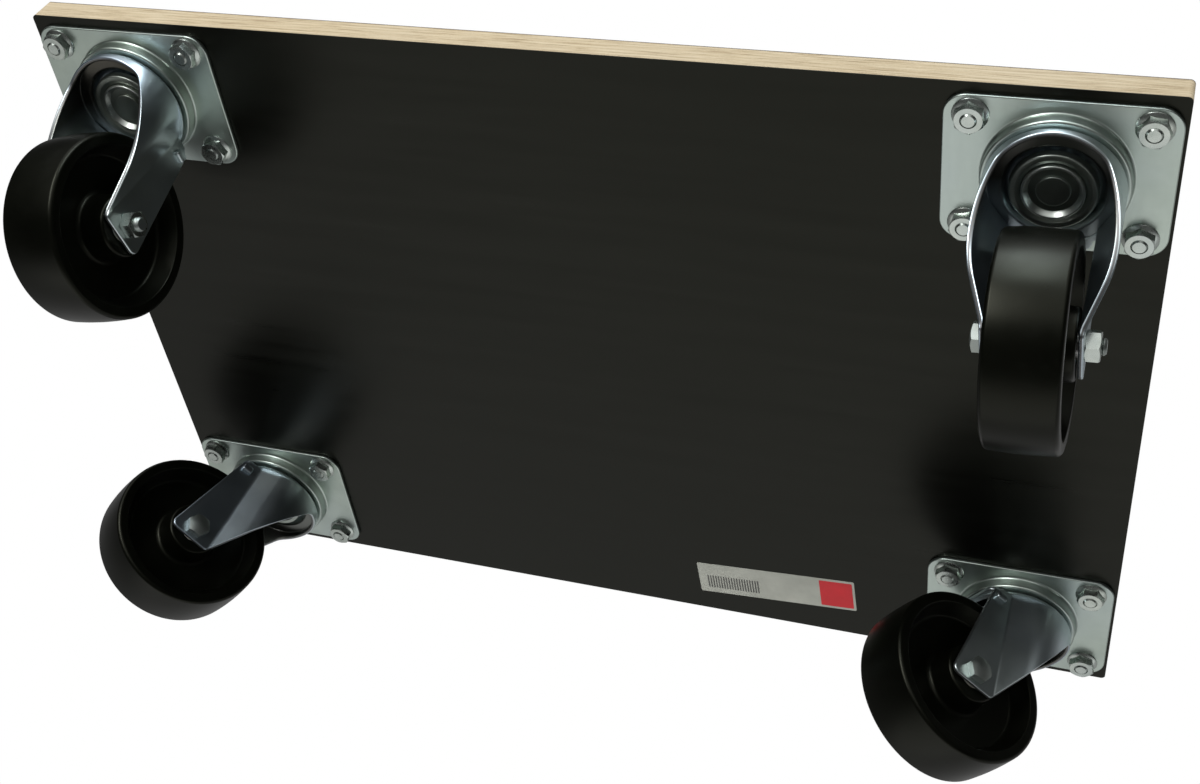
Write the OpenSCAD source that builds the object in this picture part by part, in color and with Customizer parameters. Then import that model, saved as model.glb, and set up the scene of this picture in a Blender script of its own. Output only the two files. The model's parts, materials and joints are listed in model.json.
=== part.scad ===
// Furniture dolly: a film-faced plywood deck on four swivel casters.
// Frame: origin on the floor under the middle of the deck, +X along the deck, +Z up.
// Each caster is drawn about its swivel axis with z = 0 at the deck's underside
// and +X as the direction in which its wheel trails, then placed by at_caster().

/* [Deck] */
// Length of the deck
deck_length = 600; // [500:10:900]
// Width of the deck
deck_width = 400; // [380:10:700]
// Thickness of the deck with both films
deck_thickness = 15; // [12:1:21]
// Corner radius of the deck in plan
deck_corner = 2.5; // [1.5:0.5:12]
// Thickness of the phenolic film on each face
film = 0.5; // [0.3:0.1:0.8]

/* [Casters] */
// Diameter of the wheels
wheel_d = 100; // [96:1:104]
// Width of the wheels across the tread
wheel_w = 34; // [30:1:35]
// Height from the floor to the deck's underside
caster_height = 128; // [127:1:134]
// Offset of the axle behind the swivel axis
trail = 35; // [33:1:37]
// Distance from the deck's short edges to the swivel axes
inset_x = 54; // [53:1:60]
// Distance from the deck's long edges to the swivel axes
inset_y = 45; // [41:1:70]

/* [Swivel angles at rest] */
// Trailing direction of the front left caster
front_left_angle = 78; // [0:1:359]
// Trailing direction of the front right caster
front_right_angle = 87; // [0:1:359]
// Trailing direction of the rear left caster
rear_left_angle = 225; // [0:1:359]
// Trailing direction of the rear right caster
rear_right_angle = 220; // [0:1:359]

/* [Mounting plates] */
// Length of a mounting plate along the deck
plate_length = 105; // [104:1:106]
// Width of a mounting plate across the deck
plate_width = 80; // [79:1:82]
// Corner radius of a mounting plate
plate_corner = 11; // [6:1:14]
// Spacing of the bolts along the deck
hole_spacing_x = 80; // [78:1:81]
// Spacing of the bolts across the deck
hole_spacing_y = 60; // [58:1:61]
// Radius of the bolt holes in a plate
plate_hole_r = 4.5; // [4.3:0.1:5]

/* [Hidden] */
CASTERS = ["front_left", "front_right", "rear_left", "rear_right"];
PIECES = ["top_plate", "kingpin", "upper_balls", "lower_balls", "lower_race", "fork",
    "axle_bolt", "axle_nut", "axle_sleeve", "wheel", "wheel_bush"];

// Colours
BIRCH = [0.84, 0.75, 0.61];
FILM_BLACK = [0.10, 0.10, 0.09];
ZINC = [0.66, 0.69, 0.67];
FORK_ZINC = [0.56, 0.60, 0.62];
STEEL = [0.72, 0.73, 0.72];
WHEEL_BLACK = [0.07, 0.07, 0.065];
NYLON = [0.80, 0.79, 0.74];
LABEL_GREY = [0.68, 0.69, 0.66];

// Rounding of the drawn circles
$fn = 64;

// Deck
deck_bottom_z = caster_height;
deck_top_z = caster_height + deck_thickness;
eps = 0.01;
overcut = 1;

// Label on the deck's underside
label_size = [100, 26, 0.3];
label_centre = [deck_length / 6, deck_width / 2 - 32];
label_turn = -3.5;
label_corner = 1;

// Where each caster stands and how far it is turned
caster_place = [
    [-deck_length / 2 + inset_x, -deck_width / 2 + inset_y, front_left_angle],
    [deck_length / 2 - inset_x, -deck_width / 2 + inset_y, front_right_angle],
    [-deck_length / 2 + inset_x, deck_width / 2 - inset_y, rear_left_angle],
    [deck_length / 2 - inset_x, deck_width / 2 - inset_y, rear_right_angle]
];

// Pressed sheet of plate and fork
sheet = 2.5;
dome_r = 34;
dome_depth = 9.5;
dome_hub_depth = 5.7;
dome_step_r = 21.5;
dome_edge_r = 3;
dome_fillet_r = 1.3;
dome_inner_edge = [1.6, 1];
dome_inner_step = 0.7;
step_run = 2.5;
crown_gap = 0.8;
crown_r = 32.45;
crown_top = -dome_depth - crown_gap;
crown_hub_top = -dome_hub_depth - 0.9;
crown_step_r = 20;
crown_bend = 2.2;
crown_step_drop = 1.2;

// Ball races
ball_r = 2.38;
race_r = 2.6;
upper_race_r = 26;
upper_race_z = -9.9;
upper_balls_n = 26;
lower_race_r = 17.1;
lower_race_z = -11.6;
lower_balls_n = 18;
race_bead_r = 3.7;
cup_groove_r = 2.45;
cup_outer_r = 20.3;
cup_lip_z = -11.2;
cup_bottom_z = -14.9;
cup_overhang = 0.12;
cup_foot = [0.7, 0.9];
cup_dish = 0.1;
cup_edge = [1.1, 0.7];

// Kingpin, a rivet whose lower end is a rolled ring round a moat and a flat boss
kingpin_r = 7;
kingpin_head_r = 10;
kingpin_head_z = -1.2;
ring_outer_r = 14.4;
ring_edge_r = 1.35;
ring_bottom_z = -15.6;
ring_top_z = -12.8;
boss_r = 7.8;
boss_z = -14.3;
boss_foot = 0.2;
moat_z = -13.5;
moat_outer_r = 10.9;
moat_mouth_r = 11.5;
swivel_clearance = 0.08;

// Fork legs: middle line of the bent sheet in plan, from straight and round stretches
leg_mid_r = crown_r - sheet / 2 - 0.05;
leg_flat_y = 21;
leg_turn_start = 93.7;
leg_turn_end = 58;
leg_turn_r = 20;
leg_crease_r = 5;
leg_end_x = 56;
leg_turn_centre = (leg_mid_r - leg_turn_r) * [cos(leg_turn_start), sin(leg_turn_start)];
leg_turn_last = leg_turn_centre + leg_turn_r * [cos(leg_turn_end), sin(leg_turn_end)];
leg_drop = leg_turn_last.y - leg_flat_y;
leg_crease_x = leg_turn_last.x + leg_drop * tan(leg_turn_end)
    + leg_crease_r * tan((90 - leg_turn_end) / 2);
leg_crease_centre = [leg_crease_x, leg_flat_y + leg_crease_r];

// Fork side view: x along the trail, z down from the deck
axle_z = wheel_d / 2 - caster_height;
leg_front_corner = [trail - 12.5, axle_z - 10.2];
leg_rear_corner = [trail + 15.5, axle_z - 8.2];
leg_rear_top = [34, -17];
leg_rear_shoulder_x = 27;
skirt_front = [-crown_r - 2, -14.6];
skirt_low = [-21, -19.5];
skirt_r = 8;
leg_corner_r = 3;
leg_rear_corner_r = 4;
rear_flange_x = 33;
rear_flange_w = 36;
ear_size = [7, 2.6, 5];
ear_x = 26;
ear_z = -23.2;
fork_span = 3 * crown_r;

// Axle
axle_r = 4;
axle_fit = 0.05;
sleeve_r = 6.5;
leg_outer_y = leg_flat_y + sheet / 2;
leg_inner_y = leg_flat_y - sheet / 2;
hex_flats = 13;
hex_r = hex_flats / 2 / cos(30);
axle_head_h = 5.3;
axle_nut_h = 6.5;
axle_end = 2.4;
chamfer = 0.8;

// Wheel
wheel_fit = 0.05;
hub_r = 16.5;
hub_half_w = leg_inner_y - 0.5;
bush_r = 9;
rim_inner_r = 43;
rim_edge = [1, 2];
web_r = 38.5;
web_half_t = 3.5;
web_rise = 3;
web_fillet = [3, 2];
hub_edge = 1.2;
hub_foot = [1, 1.5];
tread_edge_r = 3;
bush_half_w = hub_half_w - 0.6;

// Deck bolts and their flanged nuts
bolt_r = 3.9;
bolt_hole_r = 4.3;
bolt_head_r = 8;
bolt_head_h = 4.4;
bolt_sunk = 0.25;
bolt_head_gap = 0.2;
nut_flange_r = 8.6;
nut_flange_h = 1.2;
nut_h = 6.2;
bolt_tip = 0.6;

// Points of an arc about a centre, from one angle to another
function arc(centre, r, from, to, steps = 12) =
    [for (i = [0 : steps])
        let (a = from + (to - from) * i / steps)
        centre + r * [cos(a), sin(a)]];

// Points of one side of a leg in plan, a distance d outside its middle line
function leg_line(d) = concat(
    arc([0, 0], leg_mid_r + d, 180, leg_turn_start, 28),
    arc(leg_turn_centre, leg_turn_r + d, leg_turn_start, leg_turn_end, 8),
    arc(leg_crease_centre, leg_crease_r - d, 180 + leg_turn_end, 270, 8),
    [[leg_end_x, leg_flat_y + d]]
);

// The points of a list in reverse order
function reversed(points) = [for (i = [len(points) - 1 : -1 : 0]) points[i]];

// A rounded corner at b between the straight stretches from a and to c
function corner(a, b, c, r, steps = 6) =
    let (
        u = (a - b) / norm(a - b),
        v = (c - b) / norm(c - b),
        half = acos(u * v) / 2,
        centre = b + (u + v) / norm(u + v) * r / sin(half),
        start = b + u * r / tan(half) - centre,
        finish = b + v * r / tan(half) - centre,
        a0 = atan2(start.y, start.x),
        turn = atan2(finish.y, finish.x) - a0,
        sweep = turn > 180 ? turn - 360 : turn < -180 ? turn + 360 : turn
    )
    arc(centre, r, a0, a0 + sweep, steps);

// Moves its children from the caster's own frame to one of the four places
module at_caster(i) {
    translate([caster_place[i].x, caster_place[i].y, deck_bottom_z])
        rotate([0, 0, caster_place[i].z])
            children();
}

// Places its children at the four bolts of one caster, in the deck's directions
module at_bolts() {
    for (sx = [-1, 1], sy = [-1, 1])
        translate([sx * hole_spacing_x / 2, sy * hole_spacing_y / 2, 0])
            children();
}

// Places its children at every bolt of the deck, at the deck's underside
module at_all_bolts() {
    for (place = caster_place)
        translate([place.x, place.y, deck_bottom_z])
            at_bolts()
                children();
}

// A flat slab with round corners, centred in plan and standing on z = 0
module rounded_slab(length, width, height, r) {
    for (x = [-1, 1], y = [-1, 1])
        translate([x * (length / 2 - r), y * (width / 2 - r), 0])
            cylinder(r = r, h = height);
    translate([-length / 2 + r, -width / 2, 0])
        cube([length - 2 * r, width, height]);
    translate([-length / 2, -width / 2 + r, 0])
        cube([length, width - 2 * r, height]);
}

// A round body about the swivel axis, from a section in (radius, z)
module turned() {
    rotate_extrude($fn = 96)
        children();
}

// Hexagonal prism with its flats apart by the wrench size
module hexagon(height) {
    cylinder(r = hex_r, h = height, $fn = 6);
}

// Round space that holds a sunk bolt and its countersink, from the deck's top down
module bolt_space(shank_r, head_r) {
    translate([0, 0, -eps])
        cylinder(r = shank_r, h = deck_thickness + 2 * eps);
    translate([0, 0, deck_thickness - bolt_sunk - bolt_head_h])
        cylinder(r1 = shank_r, r2 = head_r, h = bolt_head_h);
    translate([0, 0, deck_thickness - bolt_sunk])
        cylinder(r = head_r, h = bolt_sunk + eps);
}

module deck_core() {
    color(BIRCH)
        difference() {
            translate([0, 0, deck_bottom_z + film])
                rounded_slab(deck_length, deck_width, deck_thickness - 2 * film, deck_corner);
            at_all_bolts()
                bolt_space(bolt_hole_r, bolt_head_r + bolt_head_gap);
        }
}

module deck_top_film() {
    color(FILM_BLACK)
        difference() {
            translate([0, 0, deck_top_z - film])
                rounded_slab(deck_length, deck_width, film, deck_corner);
            at_all_bolts()
                bolt_space(bolt_hole_r, bolt_head_r + bolt_head_gap);
        }
}

module deck_bottom_film() {
    color(FILM_BLACK)
        difference() {
            translate([0, 0, deck_bottom_z])
                rounded_slab(deck_length, deck_width, film, deck_corner);
            at_all_bolts()
                bolt_space(bolt_hole_r, bolt_head_r + bolt_head_gap);
        }
}

module label() {
    color(LABEL_GREY)
        translate([label_centre.x, label_centre.y, deck_bottom_z - label_size.z])
            rotate([0, 0, label_turn])
                rounded_slab(label_size.x, label_size.y, label_size.z, label_corner);
}

// Countersunk bolts, flush with the deck's top and ending just below their nuts
module deck_bolts() {
    shank = deck_thickness - bolt_sunk - bolt_head_h + sheet + nut_h + bolt_tip;
    color(STEEL)
        at_all_bolts() {
            translate([0, 0, deck_thickness - bolt_sunk - bolt_head_h])
                cylinder(r1 = bolt_r, r2 = bolt_head_r, h = bolt_head_h);
            translate([0, 0, -sheet - nut_h - bolt_tip + chamfer])
                cylinder(r = bolt_r, h = shank - chamfer + eps);
            translate([0, 0, -sheet - nut_h - bolt_tip])
                cylinder(r1 = bolt_r - chamfer, r2 = bolt_r, h = chamfer);
        }
}

module deck_nuts() {
    color(STEEL)
        at_all_bolts()
            difference() {
                union() {
                    translate([0, 0, -sheet - nut_flange_h])
                        cylinder(r = nut_flange_r, h = nut_flange_h);
                    translate([0, 0, -sheet - nut_h])
                        hexagon(nut_h - nut_flange_h + eps);
                }
                translate([0, 0, -sheet - nut_h - eps])
                    cylinder(r = bolt_r, h = nut_h + 2 * eps);
            }
}

// Section of the plate's dome: wall, race floor, step and hub, as one bent sheet
module dome_section() {
    floor_r = dome_step_r + step_run;
    polygon(concat(
        [
            [kingpin_r, -dome_hub_depth],
            [dome_step_r, -dome_hub_depth],
            [floor_r, -dome_depth]
        ],
        arc([dome_r - dome_edge_r, -dome_depth + dome_edge_r], dome_edge_r, -90, 0, 4),
        arc([dome_r + dome_fillet_r, -sheet - dome_fillet_r + eps], dome_fillet_r, 180, 90, 4),
        [
            [dome_r + dome_fillet_r, 0],
            [dome_r - dome_inner_edge.x, 0],
            [dome_r - sheet, -dome_inner_edge.y],
            [dome_r - sheet, -dome_depth + sheet],
            [floor_r + dome_inner_step, -dome_depth + sheet],
            [dome_step_r + step_run / 2, -dome_hub_depth + sheet],
            [kingpin_r, -dome_hub_depth + sheet]
        ]
    ));
}

// Ring-shaped groove of a ball race
module groove(ring_r, z, r) {
    rotate_extrude($fn = 96)
        translate([ring_r, z])
            circle(r = r, $fn = 32);
}

// Mounting plate in the deck's directions, with its dome about the swivel axis
module top_plate(i) {
    color(ZINC)
        translate([caster_place[i].x, caster_place[i].y, deck_bottom_z])
            difference() {
                union() {
                    difference() {
                        translate([0, 0, -sheet])
                            rounded_slab(plate_length, plate_width, sheet, plate_corner);
                        translate([0, 0, -sheet - eps])
                            cylinder(r = dome_r, h = sheet + 2 * eps, $fn = 96);
                    }
                    turned() {
                        dome_section();
                        intersection() {
                            translate([upper_race_r, upper_race_z])
                                circle(r = race_bead_r, $fn = 32);
                            translate([dome_step_r, -dome_depth])
                                square([dome_r - dome_step_r - sheet / 2, dome_depth]);
                        }
                    }
                }
                groove(upper_race_r, upper_race_z, race_r);
                at_bolts()
                    translate([0, 0, -sheet - eps])
                        cylinder(r = plate_hole_r, h = sheet + 2 * eps);
            }
}

// Section of the rivet, with the ring rolled over at its lower end
module kingpin_section() {
    crest = [ring_outer_r - ring_edge_r, ring_bottom_z + ring_edge_r];
    difference() {
        union() {
            translate([0, ring_top_z])
                square([kingpin_r, kingpin_head_z - ring_top_z]);
            translate([0, -dome_hub_depth + sheet])
                square([kingpin_head_r, kingpin_head_z + dome_hub_depth - sheet]);
            translate(crest)
                circle(r = ring_edge_r, $fn = 32);
            translate([0, crest.y])
                square([ring_outer_r, ring_top_z - crest.y]);
            translate([0, ring_bottom_z])
                square([crest.x, ring_edge_r + eps]);
        }
        polygon([
            [0, boss_z],
            [boss_r, boss_z],
            [boss_r + boss_foot, moat_z],
            [moat_outer_r, moat_z],
            [moat_mouth_r, ring_bottom_z + ring_edge_r / 2],
            [moat_mouth_r, ring_bottom_z - overcut],
            [0, ring_bottom_z - overcut]
        ]);
    }
}

module kingpin(i) {
    color(STEEL)
        at_caster(i)
            turned()
                kingpin_section();
}

// A ring of separate balls about the swivel axis
module ball_ring(ring_r, z, count) {
    for (k = [0 : count - 1])
        rotate([0, 0, 360 * k / count])
            translate([ring_r, 0, z])
                sphere(r = ball_r, $fn = 24);
}

module upper_balls(i) {
    color(STEEL)
        at_caster(i)
            ball_ring(upper_race_r, upper_race_z, upper_balls_n);
}

module lower_balls(i) {
    color(STEEL)
        at_caster(i)
            ball_ring(lower_race_r, lower_race_z, lower_balls_n);
}

// Dished cup that carries the lower balls and is held by the kingpin's ring
module lower_race(i) {
    color(ZINC)
        at_caster(i)
            turned()
                difference() {
                    polygon([
                        [kingpin_r, cup_lip_z],
                        [kingpin_r, ring_top_z],
                        [ring_outer_r + cup_overhang, ring_top_z],
                        [ring_outer_r + cup_foot.x, ring_top_z - cup_foot.y],
                        [lower_race_r, cup_bottom_z + cup_dish],
                        [cup_outer_r - cup_edge.x, cup_bottom_z],
                        [cup_outer_r, cup_bottom_z + cup_edge.y],
                        [cup_outer_r, cup_lip_z]
                    ]);
                    translate([lower_race_r, lower_race_z])
                        circle(r = cup_groove_r, $fn = 32);
                }
}

// Section of the fork's crown: hub over the lower race, step, race floor and bent edge
module crown_section() {
    hub_hole_r = kingpin_r + swivel_clearance;
    floor_r = crown_step_r + step_run;
    polygon(concat(
        [
            [hub_hole_r, crown_hub_top],
            [crown_step_r, crown_hub_top],
            [floor_r, crown_top]
        ],
        reversed(arc([crown_r - crown_bend, crown_top - crown_bend], crown_bend, 0, 90, 6)),
        [
            [crown_r - sheet + crown_bend, crown_top - sheet],
            [floor_r + crown_step_drop, crown_top - sheet],
            [crown_step_r + crown_step_drop, crown_hub_top - sheet],
            [hub_hole_r, crown_hub_top - sheet]
        ]
    ));
}

// Both legs and the front skirt as an upright bent sheet
module leg_sheet() {
    depth = -leg_front_corner.y + crown_top;
    for (side = [0, 1])
        mirror([0, side, 0])
            translate([0, 0, leg_front_corner.y - overcut])
                linear_extrude(height = depth - sheet / 2)
                    polygon(concat(leg_line(sheet / 2), reversed(leg_line(-sheet / 2))));
}

// Side view of the fork: skirt, leading edge, axle end and trailing edge
module fork_side() {
    outline = concat(
        [[leg_rear_shoulder_x, crown_top + overcut], [skirt_front.x, crown_top + overcut]],
        [skirt_front],
        corner(skirt_front, skirt_low, leg_front_corner, skirt_r),
        corner(skirt_low, leg_front_corner, leg_rear_corner, leg_corner_r),
        corner(leg_front_corner, leg_rear_corner, leg_rear_top, leg_rear_corner_r),
        [leg_rear_top]
    );
    rotate([90, 0, 0])
        linear_extrude(height = fork_span, center = true)
            polygon(outline);
}

// Flat rear part of the crown between the legs
module rear_flange() {
    translate([0, -rear_flange_w / 2, crown_top - sheet])
        cube([rear_flange_x, rear_flange_w, sheet]);
}

// A small ear turned outwards at the top of each leg's trailing edge
module ears() {
    for (side = [-1, 1])
        translate([
            ear_x,
            side * (leg_outer_y + ear_size.y / 2 - eps) - ear_size.y / 2,
            ear_z
        ])
            cube(ear_size);
}

module fork(i) {
    color(FORK_ZINC)
        at_caster(i)
            difference() {
                union() {
                    turned()
                        crown_section();
                    difference() {
                        rear_flange();
                        translate([0, 0, crown_top - 2 * sheet])
                            cylinder(r = crown_step_r + step_run + overcut, h = 3 * sheet);
                    }
                    intersection() {
                        leg_sheet();
                        fork_side();
                    }
                    ears();
                }
                groove(upper_race_r, upper_race_z, race_r);
                translate([trail, 0, axle_z])
                    rotate([90, 0, 0])
                        cylinder(r = axle_r + axle_fit, h = fork_span, center = true);
            }
}

// Lays its children, drawn along +Z, along the axle towards the nut side
module along_axle(i) {
    at_caster(i)
        translate([trail, 0, axle_z])
            rotate([90, 0, 0])
                children();
}

module axle_bolt(i) {
    tip_y = leg_outer_y + axle_nut_h + axle_end;
    color(STEEL)
        along_axle(i) {
            translate([0, 0, -leg_outer_y - axle_head_h])
                hexagon(axle_head_h);
            translate([0, 0, -leg_outer_y - eps])
                cylinder(r = axle_r, h = leg_outer_y + tip_y - chamfer + eps);
            translate([0, 0, tip_y - chamfer])
                cylinder(r1 = axle_r, r2 = axle_r - chamfer, h = chamfer);
        }
}

module axle_nut(i) {
    color(STEEL)
        along_axle(i)
            translate([0, 0, leg_outer_y])
                difference() {
                    hexagon(axle_nut_h);
                    translate([0, 0, -eps])
                        cylinder(r = axle_r, h = axle_nut_h + 2 * eps);
                }
}

// Steel tube clamped between the legs, on which the wheel turns
module axle_sleeve(i) {
    color(STEEL)
        along_axle(i)
            difference() {
                cylinder(r = sleeve_r, h = 2 * leg_inner_y, center = true);
                cylinder(r = axle_r + axle_fit, h = 2 * leg_inner_y + overcut, center = true);
            }
}

// Half of the wheel's section in (radius, width), from the hub to the tread
module wheel_section() {
    tread_r = wheel_d / 2;
    half_w = wheel_w / 2;
    side = concat(
        [
            [bush_r, hub_half_w],
            [hub_r - hub_edge, hub_half_w],
            [hub_r, hub_half_w - hub_edge],
            [hub_r + hub_foot.x, web_half_t + hub_foot.y],
            [hub_r + web_fillet.x, web_half_t],
            [web_r - web_fillet.x, web_half_t + web_rise],
            [web_r, web_half_t + web_rise + web_fillet.y],
            [rim_inner_r - rim_edge.x, half_w - rim_edge.y],
            [rim_inner_r, half_w]
        ],
        reversed(arc([tread_r - tread_edge_r, half_w - tread_edge_r], tread_edge_r, 0, 90, 6))
    );
    polygon(concat(side, reversed([for (p = side) [p.x, -p.y]])));
}

module wheel(i) {
    color(WHEEL_BLACK)
        along_axle(i)
            rotate_extrude($fn = 96)
                wheel_section();
}

// Nylon liner pressed into the hub
module wheel_bush(i) {
    color(NYLON)
        along_axle(i)
            difference() {
                cylinder(r = bush_r, h = 2 * bush_half_w, center = true);
                cylinder(r = sleeve_r + wheel_fit, h = 2 * bush_half_w + 1, center = true);
            }
}

// One piece of one caster, by name
module caster_piece(i, piece) {
    if (piece == "top_plate") top_plate(i);
    if (piece == "kingpin") kingpin(i);
    if (piece == "upper_balls") upper_balls(i);
    if (piece == "lower_balls") lower_balls(i);
    if (piece == "lower_race") lower_race(i);
    if (piece == "fork") fork(i);
    if (piece == "axle_bolt") axle_bolt(i);
    if (piece == "axle_nut") axle_nut(i);
    if (piece == "axle_sleeve") axle_sleeve(i);
    if (piece == "wheel") wheel(i);
    if (piece == "wheel_bush") wheel_bush(i);
}

deck_core();
deck_top_film();
deck_bottom_film();
label();
deck_bolts();
deck_nuts();
for (i = [0 : len(CASTERS) - 1], piece = PIECES)
    caster_piece(i, piece);
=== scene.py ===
"""Furniture dolly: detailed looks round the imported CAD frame. Shapes are drawn in millimetres
in each caster's own frame (z = 0 at the deck's underside, +X the way its wheel trails) and are
placed by the record's joints."""
import json
import math

import bmesh
import bpy
from mathutils import Matrix, Vector

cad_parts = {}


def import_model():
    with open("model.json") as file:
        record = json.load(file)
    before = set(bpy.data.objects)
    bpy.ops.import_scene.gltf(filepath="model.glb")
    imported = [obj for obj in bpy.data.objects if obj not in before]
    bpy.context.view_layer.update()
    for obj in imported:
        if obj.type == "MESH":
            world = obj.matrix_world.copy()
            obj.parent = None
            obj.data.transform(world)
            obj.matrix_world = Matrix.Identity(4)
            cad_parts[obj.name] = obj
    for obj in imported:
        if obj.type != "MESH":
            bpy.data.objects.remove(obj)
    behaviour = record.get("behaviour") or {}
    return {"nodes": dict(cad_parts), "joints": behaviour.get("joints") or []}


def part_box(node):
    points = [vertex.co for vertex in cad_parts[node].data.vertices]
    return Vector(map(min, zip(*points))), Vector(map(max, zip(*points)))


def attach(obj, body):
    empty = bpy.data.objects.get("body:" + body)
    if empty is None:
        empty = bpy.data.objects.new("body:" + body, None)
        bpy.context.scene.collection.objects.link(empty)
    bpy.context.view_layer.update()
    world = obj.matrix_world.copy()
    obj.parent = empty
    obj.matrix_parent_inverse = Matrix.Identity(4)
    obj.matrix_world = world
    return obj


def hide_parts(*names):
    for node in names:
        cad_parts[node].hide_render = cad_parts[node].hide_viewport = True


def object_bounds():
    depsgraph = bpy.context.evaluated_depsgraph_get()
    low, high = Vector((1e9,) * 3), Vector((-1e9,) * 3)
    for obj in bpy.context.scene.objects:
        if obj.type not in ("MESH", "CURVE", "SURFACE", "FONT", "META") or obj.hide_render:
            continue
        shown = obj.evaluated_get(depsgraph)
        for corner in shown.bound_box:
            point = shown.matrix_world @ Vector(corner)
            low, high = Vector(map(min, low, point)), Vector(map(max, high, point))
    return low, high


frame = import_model()
CAD_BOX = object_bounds()

MM = 0.001
CASTERS = ("front_left", "front_right", "rear_left", "rear_right")
JOINTS = {j["name"]: j for j in frame["joints"]}

# ---------------------------------------------------------------- sizes, in mm
DECK_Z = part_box("deck_bottom_film")[0].z / MM
DECK_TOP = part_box("deck_top_film")[1].z / MM

# Pressed plate and its dome
SHEET = 2.5
PLATE_CORNER, PLATE_EDGE = 11.0, 0.7
PLATE_CORNER_STEPS, PLATE_SIDE_POINTS = 10, 26
DOME_R, DOME_Z, DOME_HUB_Z = 34.0, -9.5, -5.7
DOME_STEP = (21.5, 24.0)
DOME_EDGE_R, DOME_FILLET_R = 1.2, 1.3
DOME_INSIDE_Z = DOME_Z + SHEET + 0.6
DOME_INSIDE_STEP = (DOME_STEP[0] + 1.2, DOME_STEP[1] + 0.7)
DOME_MOUTH_W, DOME_MOUTH_Z = 1.6, -1
STEP_BEND_R = 1.5

# Ball races, kingpin and cup
RACE_R, RACE_Z, RACE_GROOVE = 26.0, -9.9, 2.6
SHANK_R = 7.0
RING_R, RING_CREST_W, RING_LOW, RING_TOP = 14.4, 1.1, -15.6, -12.8
RING_EDGE_R = 0.7
HEAD_R, HEAD_Z = 10.0, -1.2
BOSS_R, BOSS_Z, MOAT_Z, MOAT_R = 7.8, -14.3, -13.0, 11.4
TUBE_R, MOAT_FLOOR = MOAT_R - 3.6, 0.5
BOSS_EDGE_R, BOSS_DRAFT, BOSS_LAP, BOSS_FLOOR = 0.5, 0.15, 0.3, 0.45
CUP_R, CUP_LIP_Z, CUP_LOW = 20.3, -11.2, -14.9
CUP_LIP_W, CUP_ROUND = 0.75, (0.5, 1.2, 1.0)
LOWER_BALLS_R, LOWER_BALLS_Z, CUP_GROOVE = 17.1, -11.6, 2.45

# Axle and wheel
WHEEL_R, WHEEL_HALF_W, SHOULDER_R, TREAD_DROP = 50.0, 17.0, 2.4, 0.6
TREAD_STEPS = 5
AXLE_X, AXLE_Z, AXLE_R = 35.0, WHEEL_R - DECK_Z, 4.0

# Fork: crown, legs, rear flange and ears
CROWN_R, CROWN_Z, CROWN_HUB_Z = 32.45, -10.3, -6.6
CROWN_STEP = (20.0, 22.5)
CROWN_BEND = 3.2
CROWN_SLOPE = 1.2
HUB_GAP = 0.08
LEG_FLAT_Y = 21.0
LEG_OUTER_Y = LEG_FLAT_Y + SHEET / 2
HUB_R, HUB_BORE, HUB_HALF_W = 16.5, 9.0, LEG_FLAT_Y - SHEET / 2 - 0.5
LEG_TURN = (93.7, 58.0)
LEG_TURN_R, LEG_CREASE_R = 20.0, 5.0
LEG_STEPS = (40, 12, 10)
LEG_EDGE = 0.8
LEG_TOP_Z = CROWN_Z - CROWN_BEND
SKIRT_FRONT, SKIRT_LOW = (-35.0, -14.7), (-21.0, -19.5)
LEG_TIP_FRONT = (AXLE_X - 12.5, AXLE_Z - 10.2)
LEG_TIP_REAR = (AXLE_X + 15.5, AXLE_Z - 8.2)
LEG_SHOULDER, LEG_TOP_X = (34.0, -17.0), 29.0
SKIRT_ROUND, TIP_FRONT_ROUND, TIP_REAR_ROUND, SHOULDER_ROUND = 8.0, 3.0, 4.0, 1.5
FLANGE_X, FLANGE_HALF_W, FLANGE_CORNER, FLANGE_EDGE = (24.0, 33.0), 18.0, 5.0, 0.5
EAR_SIZE, EAR_EDGE, EAR_X, EAR_Z = (7.0, 5.2), 1.2, 29.5, (-23.2, -18.2)

# Painted shade inside the front of the crown: full at the first x, none at the second
CROWN_SHADE_X = (-6.0, 8.0)
CROWN_SHADE_DEPTH = SHEET * 0.6

# Fasteners: M8, 13 mm across flats. HEX_FACE is the flat face's share of the corner radius, and
# a hexagon with a hole of radius CLOSED has none to see
HEX_R = 6.5 / math.cos(math.radians(30))
HEX_FACE = 0.86
HEX_DOME_AT = (0.25, 0.5, 0.7, 0.85)
HEX_STEPS = 72
CLOSED = 0.0001
THREAD_PITCH, THREAD_DEPTH, THREAD_CREST = 1.25, 0.55, 0.45
AXLE_HEAD, AXLE_HEAD_DOME, AXLE_NUT, AXLE_TIP, AXLE_CHAMFER = 5.3, 1.2, 6.5, 2.4, 0.9
NUT_BORE, NUT_FLANGE_R, NUT_HEIGHT, NUT_SUNK = 3.95, 8.6, 6.2, 1.0
NUT_TURN = 0.37
BOLT_R, BOLT_HEAD_R, BOLT_HEAD, BOLT_SUNK, BOLT_TIP = 3.9, 8.0, 4.4, 0.25, 6.8
SOCKET_R, SOCKET_DEPTH = 2.9, 2.6

# Distances that tell the CAD's nuts apart, in metres
NUT_SPACING, NUT_REACH, CENTRE_SPACING = 0.012, 0.019, 0.005

# Label
LABEL_SIZE, LABEL_TURN = (100, 26), -3.5
PANEL_SIZE, PANEL_X = (20.4, 22.4), 38.3
BARS, BAR_PITCH, BAR_LENGTH, BARS_AT = 20, 1.7, 11.0, (-44.0, 3.0)

# Mesh finish: points closer than MERGE become one, and edges sharper than the angle, in degrees,
# are shaded sharp
MERGE = 0.002
SOFT_ANGLE, CRISP_ANGLE = 38, 30
EDGE_STEPS = 3

# ---------------------------------------------------------------- stage, lights and camera
FLOOR_HALF, FLOOR_Z = 6.0, -0.0005
AMBIENT, ROOM_DARK, FRONT_LEVEL = 0.42, 0.09, 1.1

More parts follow.
